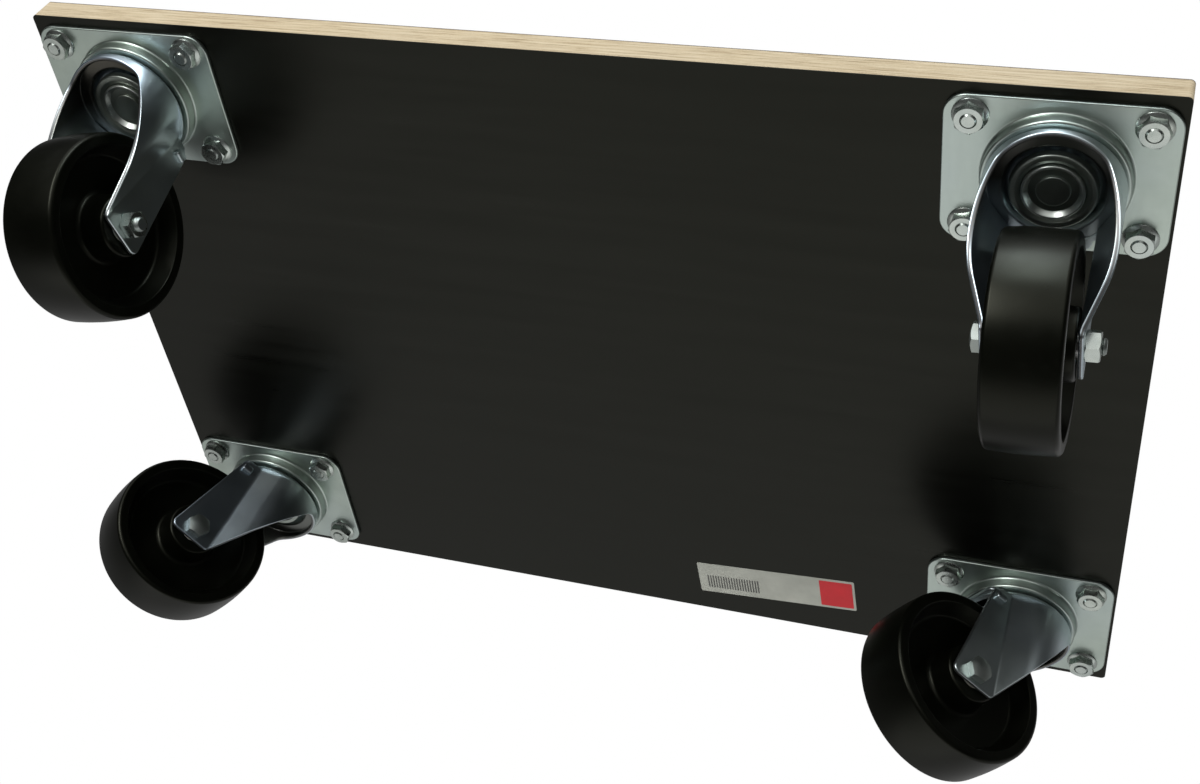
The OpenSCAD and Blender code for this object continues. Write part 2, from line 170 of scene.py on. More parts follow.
# The studio that gloss sees: along an axis, the span of a change and the levels at its ends
ROOM = {
    "wall": ("Y", (-0.05, 0.42), (ROOM_DARK, 1.0)),
    "foot": ("Z", (-0.68, -0.58), (1.0, 0.42)),
    "left": ("X", (-0.75, -0.45), (0.6, 1.0)),
    "ahead": ("Y", (-0.75, -0.25), (FRONT_LEVEL, 0.0)),
    "rise": ("Z", (-0.62, -0.4), (0.0, 1.0)),
    "aside": ("X", (-0.8, -0.5), (0.0, 1.0)),
    "right": ("X", (0.2, 0.65), (1.0, 0.05)),
}

# Bearing and height in degrees, the rest in metres
LAMPS = {
    "window": dict(turn=-110, rise=-11, distance=2.0, width=0.45, height=1.0, level=11),
    "key": dict(turn=-86, rise=27, distance=1.3, width=0.3, height=0.75, level=9,
                colour=(0.84, 0.95, 1.0)),
    "top": dict(turn=125, rise=60, distance=1.8, width=1.0, height=1.0, level=7),
}

CAMERA_PLACE, CAMERA_TURN = (0.28907, -0.57976, -0.49541), (135.97858, -18.31636, 6.65518)
CAMERA_LENS, CAMERA_SHIFT = 47.245, (-0.01287, 0.00587)


# ---------------------------------------------------------------- places
def caster_matrix(name):
    """The caster's own frame: its swivel axis, turned the way its wheel trails."""
    x, y, _ = JOINTS[name + "_swivel_turn"]["pos_m"]
    ax = JOINTS[name + "_wheel_spin"]["axis"]
    turn = math.atan2(-ax[0], ax[1])
    return Matrix.Translation((x, y, DECK_Z * MM)) @ Matrix.Rotation(turn, 4, "Z")


def plate_matrix(name):
    """The swivel axis at the deck's underside, square to the deck."""
    x, y, _ = JOINTS[name + "_swivel_turn"]["pos_m"]
    return Matrix.Translation((x, y, DECK_Z * MM))


def axle_matrix(name):
    """Local +Z along the axle towards the nut, origin at the wheel's centre."""
    place = Matrix.Translation((AXLE_X * MM, 0, AXLE_Z * MM))
    return caster_matrix(name) @ place @ Matrix.Rotation(math.radians(90), 4, "X")


# ---------------------------------------------------------------- mesh tools
def sweep(start, end, steps):
    """Angles in radians, in even steps from one angle in degrees to another."""
    return [math.radians(start + (end - start) * i / steps) for i in range(steps + 1)]


def unit(a):
    """A unit vector at an angle in radians."""
    return Vector((math.cos(a), math.sin(a)))


def arc(cx, cy, r, start, end, steps=6):
    """Points of an arc, angles in degrees."""
    return [(cx + r * math.cos(a), cy + r * math.sin(a)) for a in sweep(start, end, steps)]


def fillet(a, b, c, r, steps=5):
    """A rounded corner at b between the straight runs from a and to c."""
    a, b, c = Vector(a), Vector(b), Vector(c)
    u, v = (a - b).normalized(), (c - b).normalized()
    half = math.acos(max(-1.0, min(1.0, u.dot(v)))) / 2
    centre = b + (u + v).normalized() * (r / math.sin(half))
    start = b + u * (r / math.tan(half)) - centre
    end = b + v * (r / math.tan(half)) - centre
    a0 = math.atan2(start.y, start.x)
    turn = math.atan2(end.y, end.x) - a0
    turn = (turn + math.pi) % (2 * math.pi) - math.pi
    angles = [a0 + turn * i / steps for i in range(steps + 1)]
    return [(centre.x + r * math.cos(a), centre.y + r * math.sin(a)) for a in angles]


def edge_profile(edge):
    """A quarter round in (inset, depth), from the full inset at depth 0."""
    angles = [math.pi / 2 * i / EDGE_STEPS for i in range(EDGE_STEPS + 1)]
    return [(edge * (1 - math.sin(t)), edge * (1 - math.cos(t))) for t in angles]


def round_ring(angles, r, z):
    """Points of a circle at a height."""
    return [Vector((r * math.cos(a), r * math.sin(a), z)) for a in angles]


def skin(bm, rings, close_profile=True):
    """Quads between closed rings of the same number of points."""
    verts = [[bm.verts.new(p) for p in ring] for ring in rings]
    n = len(rings[0])
    for i in range(len(rings) if close_profile else len(rings) - 1):
        a, b = verts[i], verts[(i + 1) % len(rings)]
        for k in range(n):
            m = (k + 1) % n
            bm.faces.new((a[k], a[m], b[m], b[k]))
    return verts


def lathe(bm, profile, steps=96, place=Matrix.Identity(4)):
    """A closed section in (radius, z) turned about Z. A point at radius 0 closes on the axis."""
    angles = [2 * math.pi * k / steps for k in range(steps)]
    rings = [[place @ p for p in round_ring(angles, r, z)] for r, z in profile]
    on_axis = profile[0][0] == 0 and profile[-1][0] == 0
    skin(bm, rings, close_profile=not on_axis)


def finish_mesh(name, bm, matrix, material, sharp_angle=SOFT_ANGLE):
    """Turns a bmesh in mm into an object in metres, in the row frame, with clean shading."""
    bmesh.ops.remove_doubles(bm, verts=bm.verts, dist=MERGE)
    bmesh.ops.dissolve_degenerate(bm, edges=bm.edges, dist=MERGE)
    bmesh.ops.recalc_face_normals(bm, faces=bm.faces)
    mesh = bpy.data.meshes.new(name)
    bm.to_mesh(mesh)
    bm.free()
    mesh.transform(matrix @ Matrix.Scale(MM, 4))
    obj = bpy.data.objects.new(name, mesh)
    bpy.context.scene.collection.objects.link(obj)
    mesh.materials.append(material)
    mesh.shade_smooth()
    mesh.set_sharp_from_angle(angle=math.radians(sharp_angle))
    weighted = obj.modifiers.new("even shading", "WEIGHTED_NORMAL")
    weighted.keep_sharp = True
    return obj


def inset(points, amount):
    """A closed 2D outline, counter-clockwise, moved inwards by an amount."""
    out = []
    n = len(points)
    for i in range(n):
        p, q, r = (Vector(points[(i + d) % n]) for d in (-1, 0, 1))
        a, b = (q - p).normalized(), (r - q).normalized()
        na, nb = Vector((-a.y, a.x)), Vector((-b.y, b.x))
        out.append(q + (na + nb) * (amount / (1 + na.dot(nb))))
    return out


def slab(bm, outline, low, high, edge, place=Matrix.Identity(4)):
    """A flat piece with rounded edges from a closed outline, counter-clockwise."""
    profile = [(amount, low + depth) for amount, depth in edge_profile(edge)]
    profile += [(amount, low + high - z) for amount, z in reversed(profile)]
    rings = []
    for amount, z in profile:
        rings.append([place @ Vector((*p, z)) for p in inset(outline, amount)])
    verts = skin(bm, rings, close_profile=False)
    bm.faces.new(list(reversed(verts[0])))
    bm.faces.new(verts[-1])


def rounded_rect(length, width, r, steps, run=0):
    """Outline of a rectangle with round corners; run adds points along its straight sides."""
    out = []
    for sx, sy, a in ((1, 1, 0), (-1, 1, 90), (-1, -1, 180), (1, -1, 270)):
        corner = arc(sx * (length / 2 - r), sy * (width / 2 - r), r, a, a + 90, steps)
        if out:
            out += between(out[-1], corner[0], run)
        out += corner
    return out + between(out[-1], out[0], run)


def between(a, b, count):
    """Evenly spaced points between two points, which aren't among them."""
    a, b = Vector(a), Vector(b)
    return [tuple(a.lerp(b, i / (count + 1))) for i in range(1, count + 1)]


# ---------------------------------------------------------------- material tools
class Nodes:
    """A material with its Principled shader, and short calls for the nodes that feed it."""

    def __init__(self, name):
        self.material = bpy.data.materials.new(name)
        self.material.use_nodes = True
        self.tree = self.material.node_tree
        self.shader = self.tree.nodes["Principled BSDF"]

    def node(self, kind, **inputs):
        made = self.tree.nodes.new(kind)
        for key, value in inputs.items():
            made.inputs[key.replace("_", " ")].default_value = value
        return made

    def link(self, source, target):
        self.tree.links.new(source, target)

    def set(self, **values):
        for key, value in values.items():
            self.shader.inputs[key.replace("_", " ")].default_value = value

    def place(self, scale=(1, 1, 1), turn=(0, 0, 0)):
        coordinates = self.node("ShaderNodeTexCoord")
        mapping = self.node("ShaderNodeMapping", Scale=scale, Rotation=turn)
        self.link(coordinates.outputs["Object"], mapping.inputs["Vector"])
        return mapping.outputs["Vector"]

    def split(self, vector):
        made = self.node("ShaderNodeSeparateXYZ")
        self.link(vector, made.inputs["Vector"])
        return made.outputs

    def noise(self, scale, detail, rough=0.55, vector=None):
        made = self.node("ShaderNodeTexNoise", Scale=scale, Detail=detail, Roughness=rough)
        self.link(vector or self.place(), made.inputs["Vector"])
        return made.outputs["Fac"]

    def ramp(self, value, stops):
        made = self.node("ShaderNodeValToRGB")
        elements = made.color_ramp.elements
        while len(elements) < len(stops):
            elements.new(0.5)
        for element, (at, colour) in zip(elements, stops):
            element.position = at
            element.color = (*colour, 1)
        self.link(value, made.inputs["Fac"])
        return made.outputs["Color"]

    def range(self, value, low, high, from_low=0.0, from_high=1.0):
        made = self.node("ShaderNodeMapRange")
        made.inputs["From Min"].default_value = from_low
        made.inputs["From Max"].default_value = from_high
        made.inputs["To Min"].default_value = low
        made.inputs["To Max"].default_value = high
        self.link(value, made.inputs["Value"])
        return made.outputs["Result"]

    def maths(self, kind, a, b=None):
        made = self.tree.nodes.new("ShaderNodeMath")
        made.operation = kind
        for socket, value in zip(made.inputs, (a, b)):
            if isinstance(value, (int, float)):
                socket.default_value = value
            elif value is not None:
                self.link(value, socket)
        return made.outputs["Value"]

    def mix(self, amount, a, b):
        made = self.tree.nodes.new("ShaderNodeMix")
        made.data_type = "RGBA"
        self.link(amount, made.inputs[0])
        for socket, value in zip(made.inputs[6:8], (a, b)):
            if isinstance(value, tuple):
                socket.default_value = (*value, 1)
            else:
                self.link(value, socket)
        return made.outputs[2]

    def bump(self, height, strength, distance, normal=None):
        made = self.node("ShaderNodeBump", Strength=strength, Distance=distance)
        self.link(height, made.inputs["Height"])
        if normal:
            self.link(normal, made.inputs["Normal"])
        return made.outputs["Normal"]

    def use(self, colour, roughness, normal):
        for key, value in (("Base Color", colour), ("Roughness", roughness), ("Normal", normal)):
            self.link(value, self.shader.inputs[key])
        return self.material


def zinc(name, dark, light, tint, rough, cloud=55.0, scuff=0.5, painted_crown_shade=None):
    """Zinc plated steel: cloudy passivated colour, drawn streaks, fine scuffs, uneven gloss."""
    n = Nodes(name)
    n.set(Metallic=1.0)
    cloudy = n.noise(cloud, 3.0)
    patches = n.noise(cloud * 0.35, 2.0)
    streaks = n.noise(260.0, 6.0, 0.7, n.place(scale=(1, 0.12, 1), turn=(0, 0, 0.5)))
    grain = n.noise(1900.0, 2.0)
    colour = n.ramp(cloudy, ((0.25, dark), (0.75, light)))
    colour = n.mix(n.range(patches, 0.0, 0.5, 0.35, 0.7), colour, tint)
    # A near-black colour where the mesh's value asks for it: painted shade inside the crown
    if painted_crown_shade:
        shade_attribute = n.node("ShaderNodeAttribute")
        shade_attribute.attribute_name = "painted_crown_shade"
        uneven = n.range(patches, 0.8, 1.0, 0.3, 0.7)
        shade_weight = n.maths("MULTIPLY", shade_attribute.outputs["Fac"], uneven)
        colour = n.mix(shade_weight, colour, painted_crown_shade)
    scuffed = n.range(streaks, -0.04 * scuff, 0.06 * scuff, 0.3, 0.75)
    roughness = n.maths("ADD", n.range(cloudy, rough * 0.94, rough * 1.08, 0.3, 0.7), scuffed)
    normal = n.bump(grain, 0.018, 0.0003)
    normal = n.bump(streaks, 0.04 * scuff, 0.0006, normal)
    return n.use(colour, roughness, normal)


def birch_edge():
    """Edge of birch plywood: thin plies with alternating grain, glue lines and fine streaks."""
    n = Nodes("birch_plywood_edge")
    n.set(Specular_IOR_Level=0.25)
    ply = 1.3 * MM
    waviness = n.range(n.noise(9.0, 2.0), -0.5 * ply, 0.5 * ply)
    height = n.maths("ADD", n.split(n.place())["Z"], waviness)
    layer = n.maths("DIVIDE", height, ply)
    step = n.maths("FRACT", n.maths("MULTIPLY", n.maths("FLOOR", layer), 0.5))
    within = n.maths("FRACT", layer)
    glue = n.maths("COMPARE", within, 0.0)
    glue.node.inputs[2].default_value = 0.07
    long_grain = n.noise(42.0, 8.0, 0.65, n.place(scale=(1, 1, 45)))
    end_grain = n.noise(900.0, 3.0, 0.6)
    blotch = n.noise(14.0, 3.0)
    pale = n.ramp(long_grain, ((0.36, (0.24, 0.17, 0.09)), (0.47, (0.50, 0.39, 0.25)),
                               (0.60, (0.58, 0.48, 0.33))))
    cross = n.ramp(end_grain, ((0.35, (0.30, 0.22, 0.13)), (0.65, (0.50, 0.40, 0.26))))
    colour = n.mix(n.range(step, 0.0, 0.3, 0.0, 0.5), pale, cross)
    colour = n.mix(n.range(glue, 0.0, 0.2), colour, (0.22, 0.14, 0.07))
    colour = n.mix(n.range(blotch, 0.0, 0.3, 0.4, 0.7), colour, (0.58, 0.49, 0.36))
    roughness = n.range(end_grain, 0.55, 0.8)
    normal = n.bump(end_grain, 0.25, 0.0004)
    normal = n.bump(within, 0.12, 0.0003, normal)
    return n.use(colour, roughness, normal)


def bottom_film():
    """Smooth phenolic film: near black, semi-gloss, faint veneer grain showing through."""
    n = Nodes("smooth_film")
    n.set(Specular_IOR_Level=0.21, Specular_Tint=(0.98, 1.0, 0.80, 1))
    grain = n.noise(30.0, 6.0, 0.6, n.place(scale=(0.25, 3.2, 1)))
    fine = n.noise(700.0, 2.0)
    cloud = n.noise(5.0, 3.0)
    colour = n.ramp(grain, ((0.3, (0.0005, 0.0006, 0.0003)), (0.7, (0.0010, 0.0012, 0.0007))))
    colour = n.mix(n.range(cloud, 0.0, 0.4, 0.35, 0.7), colour, (0.0015, 0.0017, 0.0011))
    roughness = n.maths("ADD", n.range(grain, 0.27, 0.36, 0.3, 0.7), n.range(cloud, -0.03, 0.04))
    normal = n.bump(grain, 0.05, 0.0006)
    normal = n.bump(fine, 0.03, 0.0002, normal)
    return n.use(colour, roughness, normal)


def top_film():
    """Anti-slip film: dark brown with a pressed wire mesh of small diamonds."""
    n = Nodes("mesh_film")
    n.set(Specular_IOR_Level=0.35)
    pitch = 4.2 * MM
    lines = []
    for turn in (math.radians(30), math.radians(-30)):
        across = n.split(n.place(turn=(0, 0, turn)))["Y"]
        wave = n.maths("SINE", n.maths("MULTIPLY", across, 2 * math.pi / pitch))
        lines.append(n.maths("ABSOLUTE", wave))
    mesh_print = n.range(n.maths("MINIMUM", *lines), 1.0, 0.0, 0.05, 0.4)
    wear = n.noise(11.0, 5.0)
    fine = n.noise(600.0, 2.0)
    colour = n.mix(mesh_print, (0.030, 0.022, 0.017), (0.016, 0.012, 0.010))
    colour = n.mix(n.range(wear, 0.0, 0.35, 0.5, 0.8), colour, (0.055, 0.045, 0.038))
    roughness = n.maths("ADD", n.range(mesh_print, 0.38, 0.6), n.range(wear, -0.04, 0.1))
    normal = n.bump(mesh_print, 0.6, 0.0003)
    normal = n.bump(fine, 0.08, 0.0002, normal)
    return n.use(colour, roughness, normal)


def wheel_plastic():
    """Black moulded polypropylene: satin, faint mould texture, slight dust in the texture."""
    n = Nodes("black_wheel_plastic")
    n.set(Specular_IOR_Level=0.19, Specular_Tint=(0.98, 1.0, 0.80, 1))
    texture = n.noise(1300.0, 2.0)
    cloud = n.noise(28.0, 4.0)
    dust = n.noise(90.0, 6.0, 0.7)
    colour = n.ramp(cloud, ((0.3, (0.0010, 0.0012, 0.0006)), (0.7, (0.0020, 0.0023, 0.0013))))
    colour = n.mix(n.range(dust, 0.0, 0.08, 0.55, 0.8), colour, (0.03, 0.029, 0.026))
    roughness = n.maths("ADD", n.range(cloud, 0.27, 0.34, 0.3, 0.7), n.range(dust, -0.03, 0.06))
    normal = n.bump(texture, 0.05, 0.0003)
    return n.use(colour, roughness, normal)


def vinyl(name, low, high, rough):
    """Label vinyl: slightly uneven print with a fine tooth."""
    n = Nodes(name)
    n.set(Specular_IOR_Level=0.4)
    cloud = n.noise(60.0, 4.0)
    tooth = n.noise(1500.0, 2.0)
    colour = n.ramp(cloud, ((0.3, low), (0.7, high)))
    roughness = n.range(cloud, rough * 0.85, rough * 1.15, 0.3, 0.7)
    return n.use(colour, roughness, n.bump(tooth, 0.05, 0.0002))


def nylon():
    """Undyed nylon of the wheel's liner."""
    n = Nodes("natural_nylon")
    n.set(Subsurface_Weight=0.1, Specular_IOR_Level=0.4)
    cloud = n.noise(120.0, 3.0)
    colour = n.ramp(cloud, ((0.3, (0.60, 0.58, 0.50)), (0.7, (0.72, 0.70, 0.62))))
    roughness = n.range(cloud, 0.35, 0.5)
    return n.use(colour, roughness, n.bump(n.noise(900.0, 2.0), 0.05, 0.0002))


MATERIALS = {
    "plywood": birch_edge(),
    "bottom_film": bottom_film(),
    "top_film": top_film(),
    "plate": zinc("zinc_plate_metal", (0.38, 0.44, 0.39), (0.50, 0.57, 0.51),
                  (0.44, 0.50, 0.50), 0.34),
    # The fork's blue patches are partly blue passivation and partly a painted reflection of blue
    # light
    "fork": zinc("zinc_fork_metal", (0.50, 0.57, 0.57), (0.62, 0.69, 0.68),
                 # Its last colour is near-black painted shade for the inside of the crown
                 (0.42, 0.52, 0.68), 0.31, cloud=35.0, scuff=0.4, painted_crown_shade=(0.09, 0.085, 0.07)),
    # The sheared edge's dark colour is partly bare steel and partly painted shade for the fork's
    # inside
    "cut": zinc("sheared_edge_and_painted_shade", (0.17, 0.17, 0.17), (0.24, 0.24, 0.24),
                (0.20, 0.20, 0.205), 0.5),
    "pin": zinc("zinc_pin_metal", (0.40, 0.43, 0.40), (0.52, 0.55, 0.51),
                (0.43, 0.47, 0.45), 0.33, cloud=90.0),
    # Darker steel that paints shade in the hollow under the crown, on the kingpin's boss, the race
    # cup and the lower balls
    "painted_shade_steel": zinc("race_steel_with_painted_shade", (0.30, 0.33, 0.29), (0.42, 0.46, 0.41),
                    (0.34, 0.39, 0.37), 0.34, cloud=90.0),
    "fasteners": zinc("zinc_fastener_metal", (0.40, 0.44, 0.40), (0.58, 0.62, 0.57),
                      (0.46, 0.51, 0.50), 0.27, cloud=160.0),
    "axle": zinc("zinc_axle_metal", (0.28, 0.31, 0.29), (0.40, 0.43, 0.40),
                 (0.32, 0.36, 0.35), 0.42, cloud=160.0),
    "steel": zinc("polished_ball_steel", (0.55, 0.55, 0.54), (0.66, 0.66, 0.65),
                  (0.60, 0.60, 0.60), 0.1, cloud=200.0),
    "wheel": wheel_plastic(),
    "label": vinyl("label_vinyl", (0.46, 0.47, 0.41), (0.58, 0.59, 0.52), 0.42),
    "red": vinyl("label_red_print", (0.68, 0.006, 0.014), (0.80, 0.010, 0.022), 0.38),
    "grey_print": vinyl("label_grey_print", (0.07, 0.07, 0.065), (0.12, 0.12, 0.11), 0.45),
    "nylon": nylon(),
}


# ---------------------------------------------------------------- caster pieces
def top_plate(name):
    """Pressed plate: flat flange with round corners and a drawn dome that holds the balls."""
    low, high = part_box(name + "_top_plate")
    length, width = (high.x - low.x) / MM, (high.y - low.y) / MM
    outline = rounded_rect(length, width, PLATE_CORNER, PLATE_CORNER_STEPS, PLATE_SIDE_POINTS)
    step_top, step_foot = (DOME_STEP[0], DOME_HUB_Z), (DOME_STEP[1], DOME_Z)
    section = [(SHANK_R, DOME_HUB_Z)]
    section += fillet((SHANK_R, DOME_HUB_Z), step_top, step_foot, STEP_BEND_R)
    section += arc(RACE_R, RACE_Z, RACE_GROOVE, 150, 9, 8)
    section += arc(DOME_R - DOME_EDGE_R, DOME_Z + DOME_EDGE_R, DOME_EDGE_R, -90, 0)
    section += arc(DOME_R + DOME_FILLET_R, -SHEET - DOME_FILLET_R, DOME_FILLET_R, 180, 90)
    inner = [(DOME_R - DOME_MOUTH_W, 0), (DOME_R - SHEET, DOME_MOUTH_Z),
             (DOME_R - SHEET, DOME_INSIDE_Z), (DOME_INSIDE_STEP[1], DOME_INSIDE_Z),
             (DOME_INSIDE_STEP[0], DOME_HUB_Z + SHEET), (SHANK_R, DOME_HUB_Z + SHEET)]
    angles = [math.atan2(p[1], p[0]) for p in outline]
    rings = [round_ring(angles, r, z) for r, z in section]
    for level, side, degrees in ((-SHEET, 1, (0, 30, 60, 90)), (0, -1, (90, 45, 0))):
        for a in map(math.radians, degrees):
            edge = inset(outline, PLATE_EDGE * (1 - math.sin(a)))
            z = level + side * PLATE_EDGE * (1 - math.cos(a))
            rings.append([Vector((*p, z)) for p in edge])
    rings += [round_ring(angles, r, z) for r, z in inner]
    bm = bmesh.new()
    skin(bm, rings)
    return finish_mesh(name + "_plate", bm, plate_matrix(name), MATERIALS["plate"])


def kingpin(name):
    """Rivet with its lower end rolled into a ring."""
    foot, crest = (MOAT_R, MOAT_Z), (RING_R - RING_CREST_W, RING_LOW)
    rim, top = (RING_R, RING_LOW), (RING_R, RING_TOP)
    section = [foot] + fillet(foot, crest, rim, RING_EDGE_R, 6)
    section += fillet(crest, rim, top, RING_EDGE_R, 6)
    section += [top, (SHANK_R, RING_TOP), (SHANK_R, DOME_HUB_Z + SHEET),
                (HEAD_R, DOME_HUB_Z + SHEET), (HEAD_R, HEAD_Z), (TUBE_R, HEAD_Z),
                (TUBE_R, MOAT_Z + MOAT_FLOOR), (MOAT_R, MOAT_Z + MOAT_FLOOR)]
    bm = bmesh.new()
    lathe(bm, section)
    return finish_mesh(name + "_rivet", bm, caster_matrix(name), MATERIALS["pin"])


def kingpin_boss(name):
    """Flat boss and moat floor inside the rolled ring, dark with painted shade."""
    section = [(0, BOSS_Z)]
    section += arc(BOSS_R - BOSS_EDGE_R, BOSS_Z + BOSS_EDGE_R, BOSS_EDGE_R, -90, 0, 4)
    section += [(BOSS_R + BOSS_DRAFT, MOAT_Z), (MOAT_R + BOSS_LAP, MOAT_Z),
                (MOAT_R + BOSS_LAP, MOAT_Z + BOSS_FLOOR), (0, MOAT_Z + BOSS_FLOOR)]
    bm = bmesh.new()
    lathe(bm, section, 72)
    return finish_mesh(name + "_rivet_boss", bm, caster_matrix(name), MATERIALS["painted_shade_steel"])


def lower_race(name):
    """Dished cup under the fork's crown, with a rounded lip."""
    corners = [(RING_R + 0.01, RING_TOP), (RING_R + 0.7, RING_TOP - 0.9),
               (LOWER_BALLS_R, CUP_LOW + 0.15), (CUP_R - 0.5, CUP_LOW), (CUP_R, CUP_LIP_Z)]
    section = [(SHANK_R, RING_TOP), corners[0]]
    for k, steps in enumerate((3, 4, 6)):
        section += fillet(*corners[k:k + 3], CUP_ROUND[k], steps)
    section += [corners[4], (CUP_R - CUP_LIP_W, CUP_LIP_Z)]
    section += arc(LOWER_BALLS_R, LOWER_BALLS_Z, CUP_GROOVE, 9, -189, 12)
    section += [(SHANK_R, CUP_LIP_Z)]
    bm = bmesh.new()
    lathe(bm, section)
    # Its darker steel is painted shade under the crown
    return finish_mesh(name + "_race_cup", bm, caster_matrix(name), MATERIALS["painted_shade_steel"])


def leg_path():
    """Middle line of one bent leg in plan with its outward normals, from the front to the flat."""
    r = CROWN_R - SHEET / 2
    start, end = LEG_TURN
    round_steps, turn_steps, crease_steps = LEG_STEPS
    out = [(Vector((r * math.cos(a), r * math.sin(a))), unit(a))
           for a in sweep(180, start, round_steps)]
    turn_at = unit(math.radians(start)) * (r - LEG_TURN_R)
    out += [(turn_at + unit(a) * LEG_TURN_R, unit(a)) for a in sweep(start, end, turn_steps)[1:]]
    last = out[-1][0]
    drop = last.y - LEG_FLAT_Y
    crease_x = last.x + drop * math.tan(math.radians(end)) \
        + LEG_CREASE_R * math.tan(math.radians((90 - end) / 2))
    centre = Vector((crease_x, LEG_FLAT_Y + LEG_CREASE_R))
    out += [(centre + unit(a) * LEG_CREASE_R, -unit(a))
            for a in sweep(180 + end, 270, crease_steps)]
    return out


def leg_outline():
    """Lower edge and trailing edge of the fork in side view, from the front skirt to the crown."""
    corners = [SKIRT_FRONT, SKIRT_LOW, LEG_TIP_FRONT, LEG_TIP_REAR, LEG_SHOULDER,
               (LEG_TOP_X, LEG_TOP_Z)]
    lower = [SKIRT_FRONT] + fillet(*corners[0:3], SKIRT_ROUND, 10)
    lower += fillet(*corners[1:4], TIP_FRONT_ROUND, 6)
    tail = fillet(*corners[2:5], TIP_REAR_ROUND, 8) + fillet(*corners[3:6], SHOULDER_ROUND, 4)
    return lower, tail


def lower_edge(lower, x):
    """Height of the fork's lower edge at x."""
    for (x0, z0), (x1, z1) in zip(lower, lower[1:]):
        if x0 <= x <= x1:
            return z0 + (z1 - z0) * (x - x0) / (x1 - x0) if x1 > x0 else z0
    return lower[-1][1]


def sheet_outline(columns, stations):
    """Outline of the unrolled sheet in (station, height) and the count of points at each end."""
    lower, tail = leg_outline()
    flat_s, flat_x = stations[-1], columns[-1][0].x
    end_side = [(x, z) for x, z in lower if x > flat_x + 0.3] + tail
    end_side.append((LEG_TOP_X, LEG_TOP_Z))
    outline = [(s, lower_edge(lower, p.x)) for s, (p, _) in zip(stations, columns)]
    outline += [(flat_s + x - flat_x, z) for x, z in end_side]
    outline += [(s, LEG_TOP_Z) for s in reversed(stations)]
    outline += [(-(x - flat_x), z) for x, z in reversed(end_side)]
    return outline, len(end_side)


def sheet_point(columns, stations, s, z, d):
    """The point at a station along the bent sheet, a height and a depth in its thickness."""
    flat_s, flat_x = stations[-1], columns[-1][0].x
    if s <= 0:
        return Vector((flat_x - s, -LEG_FLAT_Y - d, z))
    if s >= flat_s:
        return Vector((flat_x + s - flat_s, LEG_FLAT_Y + d, z))
    i = min(range(len(stations)), key=lambda k: abs(stations[k] - s))
    p, n = columns[i]
    return Vector((p.x + n.x * d, p.y + n.y * d, z))


def sheet_face(bm, ring, count, side, flip):
    """One broad face of the sheet: quads round its bend and one face on each flat leg."""
    bottom, right = ring[:count], ring[count:count + side]
    top = ring[count + side:2 * count + side][::-1]
    left = ring[2 * count + side:]
    parts = [[bottom[k], bottom[k + 1], top[k + 1], top[k]] for k in range(count - 1)]
    parts.append([bottom[-1]] + right + [top[-1]])
    parts.append([top[0]] + left + [bottom[0]])
    for part in parts:
        bm.faces.new(part[::-1] if flip else part)


def legs(bm):
    """Both legs and the front skirt as one bent sheet with rounded edges, the cut edge apart."""
    half = leg_path()
    columns = [(Vector((p.x, -p.y)), Vector((n.x, -n.y))) for p, n in reversed(half[1:])] + half
    stations = [0.0]
    for (p, _), (q, _) in zip(columns, columns[1:]):
        stations.append(stations[-1] + (q - p).length)
    outline, side = sheet_outline(columns, stations)
    count = len(stations)
    profile = [(amount, SHEET / 2 - depth) for amount, depth in edge_profile(LEG_EDGE)]
    profile += [(amount, -d) for amount, d in reversed(profile)]
    rings = []
    for amount, d in profile:
        ring = []
        for k, (s, z) in enumerate(inset(outline, amount)):
            on_top = count + side <= k < 2 * count + side
            keep = outline[k][0] if k < count or on_top else s
            ring.append(sheet_point(columns, stations, keep, LEG_TOP_Z if on_top else z, d))
        rings.append(ring)
    verts = skin(bm, rings, close_profile=False)
    band = set(verts[EDGE_STEPS]) | set(verts[EDGE_STEPS + 1])
    for face in bm.faces:
        if all(v in band for v in face.verts):
            face.material_index = 1
    sheet_face(bm, verts[0], count, side, False)
    sheet_face(bm, verts[-1], count, side, True)


def crown(bm):
    """Pressed crown of the fork: hub, step, ball groove and bent edge."""
    hole, under = SHANK_R + HUB_GAP, CROWN_HUB_Z - SHEET
    step_top, step_foot = (CROWN_STEP[0], CROWN_HUB_Z), (CROWN_STEP[1], CROWN_Z)
    low_top = (CROWN_STEP[0] + CROWN_SLOPE, under)
    low_foot = (CROWN_STEP[1] + CROWN_SLOPE, CROWN_Z - SHEET)
    section = [(hole, CROWN_HUB_Z)]
    section += fillet((hole, CROWN_HUB_Z), step_top, step_foot, STEP_BEND_R)
    section.append(step_foot)
    section += arc(RACE_R, RACE_Z, RACE_GROOVE, 190, 350, 8)
    section += arc(CROWN_R - CROWN_BEND, CROWN_Z - CROWN_BEND, CROWN_BEND, 90, 0, 7)
    section.append((CROWN_R - SHEET, CROWN_Z - CROWN_BEND))
    section += arc(CROWN_R - CROWN_BEND, CROWN_Z - CROWN_BEND, CROWN_BEND - SHEET, 0, 90, 4)
    section += fillet((CROWN_R - CROWN_BEND, CROWN_Z - SHEET), low_foot, low_top, STEP_BEND_R)
    section += fillet(low_foot, low_top, (hole, under), STEP_BEND_R)
    section.append((hole, under))
    lathe(bm, section, 128)


def rear_flange(bm):
    """Flat tail of the crown between the legs, and a small ear turned out of each leg."""
    (x0, x1), y = FLANGE_X, FLANGE_HALF_W
    outline = [(x0, -y)] + fillet((x0, -y), (x1, -y), (x1, y), FLANGE_CORNER, 6)
    outline += fillet((x1, -y), (x1, y), (x0, y), FLANGE_CORNER, 6) + [(x0, y)]
    slab(bm, outline, CROWN_Z - SHEET, CROWN_Z, FLANGE_EDGE)
    ear = rounded_rect(*EAR_SIZE, EAR_EDGE, 4)
    for side in (-1, 1):
        slab(bm, ear, *EAR_Z, EAR_EDGE, Matrix.Translation((EAR_X, side * LEG_OUTER_Y, 0)))


